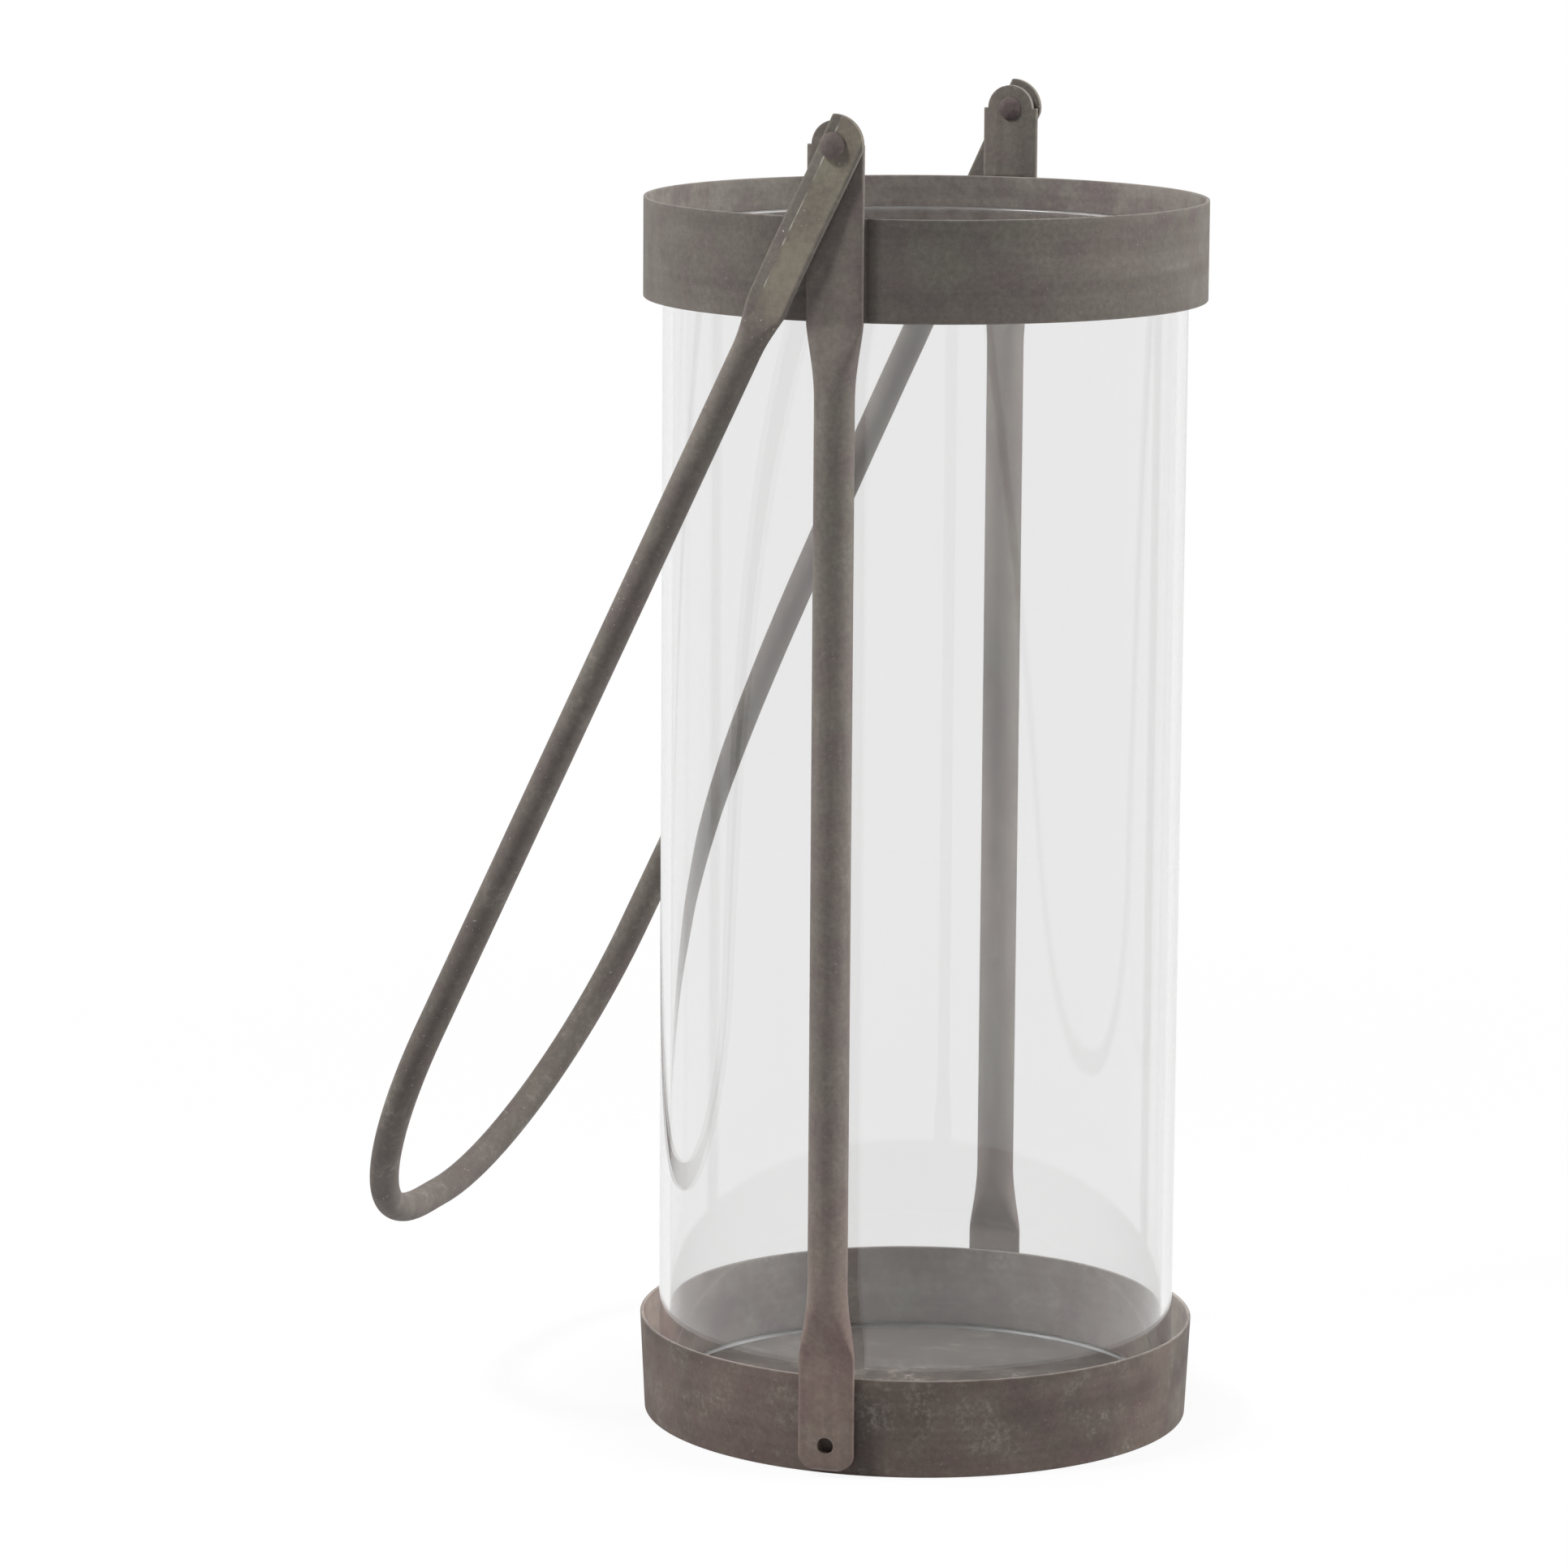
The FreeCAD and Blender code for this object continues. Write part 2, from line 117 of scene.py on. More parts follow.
# Dull patina on steel: broad stains, mottling, fine grain, rubbed edges and stray bright specks
def patina(name, look):
    material, tree, shader = newMaterial(name)
    place = addNode(tree, "TexCoord").outputs["Object"]
    where = addNode(tree, "SeparateXYZ", {0: place}).outputs
    shifted = addNode(tree, "VectorMath", {0: place, 1: look["shift"]}, operation="ADD").outputs[0]
    drawn = addNode(tree, "Mapping", {"Vector": shifted, "Scale": look["brush"]}).outputs[0]

    def pattern(title, spot=shifted):
        return noiseOf(tree, spot, *patterns[title])

    def fade(title, value):
        return spread(tree, value, *fades[title])

    def product(first, second):
        return combine(tree, "MULTIPLY", first, second)

    def total(first, second):
        return combine(tree, "ADD", first, second)

    mottle, grain = pattern("mottle"), pattern("grain")
    colour = blendColour(tree, fade("olive", pattern("stain")), look["brown"], look["olive"])
    colour = blendColour(tree, fade("plum", mottle), colour, look["plum"])
    low = spread(tree, where[2], look["lowTop"], look["lowEnd"])
    # Tint low on the front of each piece; on the bail it is painted shade that darkens its lower
    # part, where the lamps light it more
    lowTintShare = product(low, spread(tree, where[1], *look["lowTintFront"]))
    colour = blendColour(tree, lowTintShare, colour, look["lowTintAndShade"], "MULTIPLY")
    # Painted light on the insides of the bands where their tone mark lies; on the bail, its
    # lighter rubbed face
    tone = product(markOf(tree, "tone"), fade("tone", mottle))
    colour = blendColour(tree, tone, colour, look["toneTint"], "MULTIPLY")
    blotch = product(low, fade("blotch", pattern("smudge")))
    colour = blendColour(tree, product(blotch, look["blotch"]), colour, look["dirt"])
    dusty = product(fade("dustPlace", mottle), fade("dustGrain", grain))
    dustShare = spread(tree, low, 0.0, 1.0, look["dustHigh"], look["dustLow"])
    colour = blendColour(tree, product(dusty, dustShare), colour, look["dust"])
    colour = blendColour(tree, look["grain"], colour, fade("grain", grain), "MULTIPLY")
    streak = fade("streak", pattern("streak", drawn))
    colour = blendColour(tree, look["streak"], colour, streak, "MULTIPLY")
    rubbed = markOf(tree, "wear")
    worn = total(rubbed, product(pattern("scuff"), look["scuff"]))
    worn = product(fade("worn", worn), look["rub"])
    colour = blendColour(tree, worn, colour, look["bare"])
    onEdge = fade("edge", rubbed)
    speck = total(pattern("glint"), product(onEdge, look["edgeSpeck"]))
    speckPlace = combine(tree, "MAXIMUM", fade("speckPlace", mottle), onEdge)
    speck = product(fade("speck", speck), speckPlace)
    colour = blendColour(tree, product(speck, look["speck"]), colour, look["spark"])
    tree.links.new(colour, shader.inputs["Base Color"])
    roughness = spread(tree, total(mottle, grain), *fades["rough"], *look["rough"])
    roughness = combine(tree, "SUBTRACT", roughness, product(worn, look["rubShine"]))
    tree.links.new(roughness, shader.inputs["Roughness"])
    shader.inputs["Metallic"].default_value = look["metal"]
    shader.inputs["Specular IOR Level"].default_value = look["shine"]
    relief = total(product(grain, look["grainDepth"]), product(mottle, look["mottleDepth"]))
    relief = total(relief, product(pattern("dents"), look["dentDepth"]))
    values = {"Strength": look["bump"], "Distance": look["relief"], "Height": relief}
    tree.links.new(addNode(tree, "Bump", values).outputs[0], shader.inputs["Normal"])
    return material


# Clear drawn glass with ground rims and a dark foot, which the lamps shine through
def clearGlass(name, look):
    material, tree, shader = newMaterial(name)
    colour = blendColour(tree, markOf(tree, "tone"), look["tint"], look["footTint"])
    tree.links.new(colour, shader.inputs["Base Color"])
    shader.inputs["Transmission Weight"].default_value = 1.0
    shader.inputs["IOR"].default_value = look["bend"]
    place = addNode(tree, "TexCoord").outputs["Object"]
    drawn = addNode(tree, "Mapping", {"Vector": place, "Scale": look["stretch"]}).outputs[0]
    waves = noiseOf(tree, drawn, *look["waves"])
    roughness = spread(tree, markOf(tree, "wear"), 0.0, 1.0, 0.0, look["rimRough"])
    tree.links.new(roughness, shader.inputs["Roughness"])
    values = {"Strength": look["wave"], "Distance": look["relief"], "Height": waves}
    tree.links.new(addNode(tree, "Bump", values).outputs[0], shader.inputs["Normal"])
    lampRay = addNode(tree, "LightPath").outputs["Is Shadow Ray"]
    through = addNode(tree, "BsdfTransparent", {"Color": look["lampTint"]}).outputs[0]
    both = addNode(tree, "MixShader", {0: lampRay, 1: shader.outputs[0], 2: through})
    tree.links.new(both.outputs[0], tree.nodes["Material Output"].inputs["Surface"])
    return material


steel = {
    "shift": (0.0, 0.0, 0.0),
    "brown": (0.144, 0.126, 0.1125, 1),
    "olive": (0.1345, 0.125, 0.1075, 1),
    "plum": (0.1305, 0.1095, 0.1045, 1),
    "dust": (0.22, 0.198, 0.178, 1),
    "bare": (0.28, 0.258, 0.235, 1),
    "spark": (0.5, 0.48, 0.44, 1),
    "dirt": (0.075, 0.06, 0.057, 1),
    "blotch": 0.6,
    "lowTintAndShade": (1.03, 0.912, 0.885, 1),
    "lowTop": 0.11,
    "lowEnd": 0.015,
    "lowTintFront": (0.03, -0.02),
    # Painted light: lightens the inside faces of the bands
    "toneTint": (1.62, 1.63, 1.66, 1),
    "dustLow": 0.8,
    "dustHigh": 0.2,
    "brush": (9, 9, 240),
    "streak": 0.3,
    "grain": 0.42,
    "rub": 0.26,
    "speck": 0.25,
    "edgeSpeck": 0.0,
    "scuff": 0.9,
    "rough": (0.58, 0.8),
    "rubShine": 0.15,
    "metal": 0.04,
    "shine": 0.2,
    "bump": 0.4,
    "relief": 0.0006,
    "grainDepth": 0.25,
    "mottleDepth": 0.3,
    "dentDepth": 1.6,
}
bandSteel = patina("band_patina", steel)
uprightSteel = patina("upright_patina", {
    **steel,
    "shift": (0.31, 0.17, 0.05),
    "brown": (0.181, 0.157, 0.14, 1),
    "olive": (0.169, 0.156, 0.134, 1),
    "plum": (0.161, 0.134, 0.128, 1),
    "brush": (260, 260, 14),
    "lowTintAndShade": (1.16, 0.99, 0.97, 1),
    "blotch": 0.35,
    "dustHigh": 0.45,
    "rub": 0.45,
})
bailSteel = patina("bail_patina", {
    **steel,
    "shift": (0.11, 0.43, 0.27),
    "brown": (0.172, 0.153, 0.136, 1),
    "olive": (0.166, 0.153, 0.131, 1),
    "plum": (0.156, 0.132, 0.124, 1),
    "bare": (0.42, 0.395, 0.35, 1),
    "toneTint": (1.5, 1.49, 1.34, 1),
    # Painted shade: the lower bail is darkened where the lamps light it more than its top
    "lowTintAndShade": (0.72, 0.695, 0.7, 1),
    "lowTop": 0.33,
    "lowEnd": 0.07,
    "lowTintFront": (0.2, 0.1),
    "blotch": 0.12,
    "brush": (60, 60, 60),
    "streak": 0.15,
    "dustHigh": 0.6,
    "rub": 0.85,
    "speck": 0.8,
    "edgeSpeck": 0.08,
})
rivetSteel = patina("rivet_patina", {
    **steel,
    "shift": (0.71, 0.2, 0.4),
    "brown": (0.15, 0.122, 0.116, 1),
    "olive": (0.14, 0.12, 0.11, 1),
    "plum": (0.128, 0.1, 0.1, 1),
    "rub": 0.4,
})
floorSteel = patina("floor_patina", {
    **steel,
    "shift": (0.52, 0.61, 0.13),
    "brown": (0.068, 0.0605, 0.0545, 1),
    "olive": (0.064, 0.0585, 0.0525, 1),
    "plum": (0.06, 0.0525, 0.049, 1),
    "lowTintAndShade": (1, 1, 1, 1),
    "blotch": 0.2,
    "shine": 0.05,
    "brush": (30, 30, 30),
})
glassClear = clearGlass("glass_clear", {
    "tint": (0.894, 0.893, 0.8935, 1),
    "footTint": (0.3, 0.3, 0.297, 1),
    "lampTint": (0.955, 0.957, 0.959, 1),
    "bend": 1.5,
    "stretch": (34, 34, 2.2),
    "waves": (1.0, 2, 0.55),
    "rimRough": 0.3,
    "wave": 0.02,
    "relief": 0.001,
})
print("materials made")


weldWithin = 1e-7


def spun(profile, around, closed=True):
    bm = bmesh.new()
    line = [bm.verts.new((r * mm, 0, z * mm)) for r, z in profile]
    edges = [bm.edges.new(pair) for pair in zip(line, line[1:])]
    if closed:
        edges.append(bm.edges.new((line[-1], line[0])))
    bmesh.ops.spin(
        bm, geom=line + edges, cent=(0, 0, 0), axis=(0, 0, 1), angle=2 * pi, steps=around,
        use_merge=True)
    bmesh.ops.remove_doubles(bm, verts=bm.verts, dist=weldWithin)
    bmesh.ops.recalc_face_normals(bm, faces=bm.faces)
    return bm


# A closed outline with each corner turned into an arc, and extra points on either side of it
def roundedLoop(corners, radius, margins, pieces=5):
    loop = []
    for index, corner in enumerate(corners):
        here = Vector(corner)
        before = Vector(corners[index - 1]) - here
        after = Vector(corners[(index + 1) % len(corners)]) - here
        backward, forward = before.normalized(), after.normalized()
        near = [margin for margin in margins if margin < before.length / 2]
        loop += [here + backward * margin for margin in reversed(near)]
        centre = here + (backward + forward) * radius
        for step in range(pieces + 1):
            angle = step / pieces * pi / 2
            loop.append(centre - forward * radius * cos(angle) - backward * radius * sin(angle))
        loop += [here + forward * margin for margin in margins if margin < after.length / 2]
    return [tuple(point) for point in loop]


def prism(outline, fromY, toY):
    bm = bmesh.new()
    face = bm.faces.new([bm.verts.new((x * mm, fromY * mm, z * mm)) for x, z in outline])
    grown = bmesh.ops.extrude_face_region(bm, geom=[face])["geom"]
    moved = [item for item in grown if isinstance(item, bmesh.types.BMVert)]
    bmesh.ops.translate(bm, verts=moved, vec=(0, (toY - fromY) * mm, 0))
    bmesh.ops.recalc_face_normals(bm, faces=bm.faces)
    return bm


def disc(x, z, radius, pieces=40):
    angles = [step / pieces * 2 * pi for step in range(pieces)]
    return [(x + radius * cos(angle), z + radius * sin(angle)) for angle in angles]


# The metal that is cut away beyond a rounded strap end
def roundEnd(x, z, radius, reach=20, pieces=40):
    arc = [pi - step / pieces * pi for step in range(pieces + 1)]
    curve = [(x + radius * cos(angle), z + radius * sin(angle)) for angle in arc]
    corners = [(x + reach, z), (x + reach, z + reach), (x - reach, z + reach)]
    return [(x - reach, z)] + curve + corners


# The metal that is cut away beyond a rounded lower corner
def cornerCut(x, z, radius, reach=4, pieces=16):
    innerX, top = x - radius, z + radius
    outline = [(innerX, z - reach), (innerX, z)]
    for step in range(1, pieces + 1):
        angle = step / pieces * pi / 2
        outline.append((innerX + radius * sin(angle), top - radius * cos(angle)))
    return outline + [(x + reach, top), (x + reach, z - reach)]


def holder(name, bm):
    mesh = bpy.data.meshes.new(name)
    bm.to_mesh(mesh)
    bm.free()
    made = bpy.data.objects.new(name, mesh)
    scene.collection.objects.link(made)
    return made


# Cuts the tools out of a solid and breaks the edges that this leaves sharp
def carve(bm, tools, edgeBreak, sharpFrom=50, rounds=2):
    solid = holder("solid", bm)
    cutters = [holder("cutter", tool) for tool in tools]
    for cutter in cutters:
        cut = solid.modifiers.new("cut", "BOOLEAN")
        cut.operation = "DIFFERENCE"
        cut.solver = "EXACT"
        cut.object = cutter
    broken = solid.modifiers.new("broken", "BEVEL")
    broken.width = edgeBreak * mm
    broken.segments = rounds
    broken.limit_method = "ANGLE"
    broken.angle_limit = radians(sharpFrom)
    graph = bpy.context.evaluated_depsgraph_get()
    result = bpy.data.meshes.new_from_object(solid.evaluated_get(graph))
    carved = bmesh.new()
    carved.from_mesh(result)
    bmesh.ops.remove_doubles(carved, verts=carved.verts, dist=weldWithin)
    for spare in cutters + [solid]:
        spareMesh = spare.data
        bpy.data.objects.remove(spare)
        bpy.data.meshes.remove(spareMesh)
    bpy.data.meshes.remove(result)
    return carved


creaseFrom = 38


def clamped(value):
    return max(0.0, min(1.0, value))


# Marks the wear and tone of each point, smooths the piece and puts it in the place of its solid
def finishPiece(name, bm, material, node, body, slotName, marks, place=None):
    made = holder(name, bm)
    mesh = made.data
    for title, amount in marks.items():
        mark = mesh.attributes.new(title, "FLOAT", "POINT")
        for vertex in mesh.vertices:
            mark.data[vertex.index].value = clamped(amount(vertex.co / mm))
    if place:
        mesh.transform(place)
    mesh.shade_smooth()
    mesh.set_sharp_from_angle(angle=radians(creaseFrom))
    mesh.materials.append(material)
    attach(made, body)
    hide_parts(node)


swellPower = 1.3


# Share of roundness of a squashed tube at a distance past the end of its flat
def swell(distance, taper):
    return (1 - (1 - clamped(distance / taper)) ** 2) ** swellPower


# Half-lengths of a squashed tube's section: its flat, and its thickness
def squashed(tube, roundness):
    halfHeight = tube["wall"] + (tube["diameter"] / 2 - tube["wall"]) * roundness
    return pi * (tube["diameter"] / 2 - halfHeight) / 2, halfHeight


# Evenly spaced points round that section as (across, outward), from the middle of the outer face
def sectionRing(halfFlat, halfHeight, count, square=0.0):
    total = 4 * halfFlat + 2 * pi * halfHeight
    ring = []
    for index in range(count):
        run = (index + 0.5) / count * total
        side = 1 if run < total / 2 else -1
        run = min(run, total - run)
        if run < halfFlat:
            across, outward = run, halfHeight
        elif run < halfFlat + pi * halfHeight:
            angle = (run - halfFlat) / halfHeight
            power = 1 - square
            across = halfFlat + halfHeight * sin(angle) ** power
            outward = halfHeight * abs(cos(angle)) ** power * (1 if cos(angle) > 0 else -1)
        else:
            across, outward = 2 * halfFlat + pi * halfHeight - run, -halfHeight
        ring.append((side * across, outward))
    return ring


# Bridges each section of a tube to the next and closes both ends
def skin(rings):
    bm = bmesh.new()
    before = []
    for ring in rings:
        loop = [bm.verts.new(point * mm) for point in ring]
        edges = [bm.edges.new(pair) for pair in zip(loop[-1:] + loop, loop)]
        if before:
            bmesh.ops.bridge_loops(bm, edges=before + edges)
        before = edges
    bmesh.ops.holes_fill(bm, edges=[edge for edge in bm.edges if edge.is_boundary])
    bmesh.ops.recalc_face_normals(bm, faces=bm.faces)
    return bm


def steps(start, stop, pitch):
    count = max(1, round(abs(stop - start) / pitch))
    return [start + (stop - start) * index / count for index in range(count)]


# Rolled sheet hoop round the top of the glass
topBand = {
    "outer": 80.0,
    "sheet": 1.0,
    "bottom": 323.6,
    "rim": 352.0,
    "edge": 0.3,
    "margins": (0.9, 2.0, 6.0),
    "around": 288,
    "rubbed": 1.3,
    "insideFrom": 0.4,
    "insideFade": 0.3,
    # Painted light on the inside of the band
    "paintedInsideLight": 1.0,
    "seamFrom": 8.25,  # the strip's ends meet just past the front strap
    "seamTo": 8.85,
    "seamDepth": 0.9,
    "seamEdge": 0.08,
}


# A narrow upright slit in the outside of a band
def seamCutter(d, low=-5, high=400, outside=4):
    deep = d["outer"] - d["seamDepth"]
    left, right = d["seamFrom"], d["seamTo"]
    outline = [(left, low), (right, low), (right, high), (left, high)]
    return prism(outline, -deep, -deep - outside)


def spunSheet(d, corners):
    ring = spun(roundedLoop(corners, d["edge"], d["margins"]), d["around"])
    return carve(ring, [seamCutter(d)], d["seamEdge"])


# Painted light: the inside of a band is painted lighter than its outside, standing in for the
# light that bounces round inside it
def paintedInsideLight(d, depth):
    return d["paintedInsideLight"] * clamped((depth - d["sheet"] * d["insideFrom"]) / d["insideFade"])


def makeTopBand(d):
    outer, inner = d["outer"], d["outer"] - d["sheet"]
    bottom, rim = d["bottom"], d["rim"]
    bm = spunSheet(d, [(inner, bottom), (outer, bottom), (outer, rim), (inner, rim)])

    def wear(co):
        return 1 - min(rim - co.z, co.z - bottom) / d["rubbed"]

    def tone(co):
        return paintedInsideLight(d, outer - hypot(co.x, co.y))

    marks = {"wear": wear, "tone": tone}
    finishPiece("topBand", bm, bandSteel, "top_band", "frame", "patinated_steel", marks)


makeTopBand(topBand)

# Wall of the base pan, a little narrower at the table
panWall = {
    "outer": 80.0,
    "footOuter": 78.6,
    "sheet": 1.0,
    "rim": 28.2,
    "edge": 0.3,
    "margins": (0.9, 2.0, 6.0),
    "around": 288,
    "rubbed": 1.3,
    "footRub": 1.5,
    "insideFrom": 0.4,
    "insideFade": 0.3,
    # Painted light on the inside of the pan wall, weaker than on the top band
    "paintedInsideLight": 0.44,
    "seamFrom": 8.25,
    "seamTo": 8.7,
    "seamDepth": 0.6,
    "seamEdge": 0.08,
}


def panRadius(z):
    flare = panWall["outer"] - panWall["footOuter"]
    return panWall["footOuter"] + flare * z / panWall["rim"]


def makePanWall(d):
    outer, footOuter, rim, sheet = d["outer"], d["footOuter"], d["rim"], d["sheet"]
    bm = spunSheet(d, [(footOuter - sheet, 0), (footOuter, 0), (outer, rim), (outer - sheet, rim)])

    def wear(co):
        return 1 - min(rim - co.z, co.z * d["footRub"]) / d["rubbed"]

    def tone(co):
        return paintedInsideLight(d, panRadius(co.z) - hypot(co.x, co.y))

    marks = {"wear": wear, "tone": tone}
    finishPiece("panWall", bm, bandSteel, "base_band", "frame", "patinated_steel", marks)


makePanWall(panWall)
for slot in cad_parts["base_plate"].material_slots:
    slot.material = floorSteel
print("bands made")

pivotHeight = 372.0

# Tube with both ends squashed to straps that lie on the bands
upright = {
    "diameter": 11.2,
    "wall": 1.2,
    "offset": 81.0,
    "foot": 1.8,
    "lowerFlat": 34.2,
    "taper": 21.0,
    "upperFlat": 323.2,
    "pivot": pivotHeight,
    "shoulder": 1.4,
    "corner": 5.0,
    "footHole": 8.8,
    "hole": 2.35,
    "square": 0.5,
    "lift": 0.9,  # the inner face curls a little away from the bands towards its edges
    "liftReach": 8.0,
    "liftFrom": 0.5,
    "edge": 0.25,
    "around": 84,
    "top": 381.0,
    "step": 0.05,  # half the height over which a strap steps off a band's edge
    "panGap": 0.65,
    "bandGap": 1.35,
    "rimGap": 0.95,
    "strapPitch": 1.6,
    "swellPitch": 0.9,
    "tubePitch": 6,
    "lugPitch": 1.2,
    "cut": (-90, -70),
    "rimRub": 0.6,
    "endFrom": -0.5,
    "endFade": 0.9,
    "shoulderIn": 0.3,
    "shoulderFade": 0.8,
    "holeRub": 0.7,
    "holeFade": 0.7,
}


def makeUprights(d):
    lowerFlat, upperFlat, foot, pivot = d["lowerFlat"], d["upperFlat"], d["foot"], d["pivot"]
    lowerRound, upperRound = lowerFlat + d["taper"], upperFlat - d["taper"]
    panRim, bandBottom, bandRim = (
        (edge - d["step"], edge + d["step"])
        for edge in (panWall["rim"], topBand["bottom"], topBand["rim"]))
    heights = steps(foot, panRim[0], d["strapPitch"]) + list(panRim)
    heights += steps(panRim[1] + d["panGap"], lowerFlat, d["swellPitch"])
    heights += steps(lowerFlat, lowerRound, d["swellPitch"])
    heights += steps(lowerRound, upperRound, d["tubePitch"])
    heights += steps(upperRound, upperFlat, d["swellPitch"]) + [upperFlat, *bandBottom]
    heights += steps(bandBottom[1] + d["bandGap"], bandRim[0], d["strapPitch"]) + list(bandRim)
    heights += steps(bandRim[1] + d["rimGap"], d["top"], d["lugPitch"]) + [d["top"]]

    def roundnessAt(z):
        return min(swell(z - lowerFlat, d["taper"]), swell(upperFlat - z, d["taper"]))

    # The outside of the band that lies behind the strap at this height
    def seatRadius(z):
        if z <= panWall["rim"]:
            return panRadius(z)
        return topBand["outer"] if topBand["bottom"] <= z <= topBand["rim"] else 0

    rings = []
    for z in heights:
        ring = []
        roundness = roundnessAt(z)
        square = d["square"] * (1 - roundness)
        for across, outward in sectionRing(*squashed(d, roundness), d["around"], square):
            if outward < 0:
                curl = max(0.0, abs(across) / d["liftReach"] - d["liftFrom"])
                outward += d["lift"] * (1 - roundness) * curl
            y = -(d["offset"] + outward)
            if hypot(across, y) < seatRadius(z):
                y = -sqrt(seatRadius(z) ** 2 - across ** 2)
            ring.append(Vector((across, y, z)))
        rings.append(ring)
    halfFlat, halfHeight = squashed(d, 0)
    halfWidth = halfFlat + halfHeight
    lug = halfWidth - d["shoulder"]
    corner = cornerCut(halfWidth, foot, d["corner"])
    outlines = [
        roundEnd(0, pivot, lug),
        corner,
        [(-x, z) for x, z in corner],
        disc(0, pivot, d["hole"]),
        disc(0, d["footHole"], d["hole"]),
    ]
    tools = [prism(outline, *d["cut"]) for outline in outlines]

    def wear(co):
        roundness = roundnessAt(co.z)
        flatHere, heightHere = squashed(d, roundness)
        rim = (abs(co.x) - flatHere) / heightHere * (1 - roundness)
        fromPivot = hypot(co.x, co.z - pivot)
        aboveEnd, atShoulder = co.z > pivot + d["endFrom"], abs(co.x) > lug - d["shoulderIn"]
        end = 1 - abs(fromPivot - lug) / d["endFade"] if aboveEnd else 0
        shoulder = 1 - abs(co.z - pivot) / d["shoulderFade"] if atShoulder else 0
        fromHole = min(fromPivot, hypot(co.x, co.z - d["footHole"])) - d["hole"]
        punched = 1 - fromHole / d["holeFade"]
        return max(rim * d["rimRub"], end, shoulder, punched * d["holeRub"], 1 - (co.z - foot))

    plain = carve(skin(rings), tools, d["edge"])
    turned = plain.copy()
    half = Matrix.Rotation(pi, 4, "Z")
    marks = {"wear": wear}
    shared = "frame", "patinated_steel", marks
    finishPiece("uprightFront", plain, uprightSteel, "upright_front", *shared)
    finishPiece("uprightRear", turned, uprightSteel, "upright_rear", *shared, half)


makeUprights(upright)
print("uprights made")

# Bent tube handle, drawn hanging straight down from its pivot and then leant
bail = {
    "diameter": 8.4,
    "wall": 1.0,
    "offset": 83.3,
    "flat": 48.0,
    "taper": 14.0,
    "pivotAside": 2.2,
    "endMargin": 0.2,
    "drop": 355.6,
    "bottomRun": 14.0,
    "lean": 25.5,
    "pivot": pivotHeight,
    "hole": 2.3,
    "bow": 1.2,  # the flat springs out a little between rivet and tube
    "bowFrom": 5.0,
    "ridge": 2.9,
    "ridgeDrift": 0.5,
    "ridgeFall": 0.16,
    "ridgeLow": 3.0,  # where it fades out, past the flat's end and above the pivot
    "ridgeLowFade": 12.0,
    "ridgeHigh": 4.0,
    "ridgeHighFade": 6.0,
    "square": 0.4,
    "edge": 0.2,
    "around": 76,
    "spare": 1.5,
    "flatPitch": 1.3,
    "swellPitch": 0.8,
    "tubePitch": 7,
    "bendPieces": 40,
    "cut": (-95, 95),
    "outerFace": 0.6,
    "rimRub": 0.45,
    "endRub": 0.4,
    "endFade": 0.9,
    "tubeRub": 0.15,
    "ridgeRub": 1.12,
    "ridgeBreaks": 0.5,
    "breakPitch": 0.3,
    "ridgeFade": 0.5,
    "rubLow": 6.0,
    "rubLowFade": 10.0,
    "toneLow": 2.0,
    "toneLowFade": 12.0,
    "toneRidge": 0.3,
    "toneEdge": 0.5,
    "toneFade": 0.8,
}


